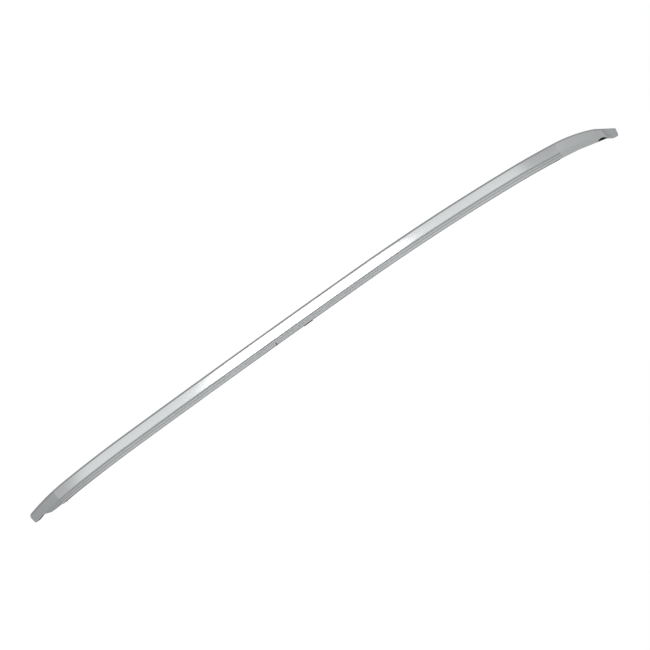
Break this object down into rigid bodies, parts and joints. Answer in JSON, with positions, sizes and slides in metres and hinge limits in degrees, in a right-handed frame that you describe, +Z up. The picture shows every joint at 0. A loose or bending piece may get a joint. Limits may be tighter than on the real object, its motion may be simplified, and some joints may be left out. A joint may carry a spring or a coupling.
{
  "type": "roof side rail",
  "caption": "Arched car roof side rail: hollow aluminium section with grooved outer base, cast end caps that turn down to the roof, rubber seals and threaded fixings beneath.",
  "frame": {"origin": "mouth of the crown fixing's threaded insert, on the underside of the rail where its arch is level", "axes": "+X forwards along the rail as fitted, +Y towards the middle of the car, +Z up. The outer face looks towards -Y, so this is the rail of the car's right-hand side."},
  "size_m": [1.8147, 0.0579, 0.0934],
  "materials": {
    "rail_aluminium": "satin anodised",
    "cap_aluminium": "silver lacquer on a cast cap, matched to the rail",
    "screw_steel": "zinc plated",
    "seal_rubber": "matt black",
    "block_plastic": "dark grey",
    "insert_brass": "turned",
    "gasket_foam": "closed cell foam"
  },
  "bodies": {
    "root": {"rail_profile": "rail_aluminium", "rear_end_cap": "cap_aluminium", "front_end_cap": "cap_aluminium", "rear_cap_screw": "screw_steel", "front_cap_screw": "screw_steel", "rear_end_pad": "seal_rubber", "front_end_pad": "seal_rubber", "outer_seal_rear": "seal_rubber", "outer_seal_front": "seal_rubber", "inner_seal": "seal_rubber", "centre_pad": "seal_rubber", "block_rear": "block_plastic", "block_mid_rear": "block_plastic", "block_centre": "block_plastic", "block_crown": "block_plastic", "block_front": "block_plastic", "insert_rear": "insert_brass", "insert_mid_rear": "insert_brass", "insert_centre": "insert_brass", "insert_crown": "insert_brass", "insert_front": "insert_brass", "gasket_rear": "gasket_foam", "gasket_mid_rear": "gasket_foam", "gasket_centre": "gasket_foam", "gasket_crown": "gasket_foam", "gasket_front": "gasket_foam"}
  },
  "joints": []
}
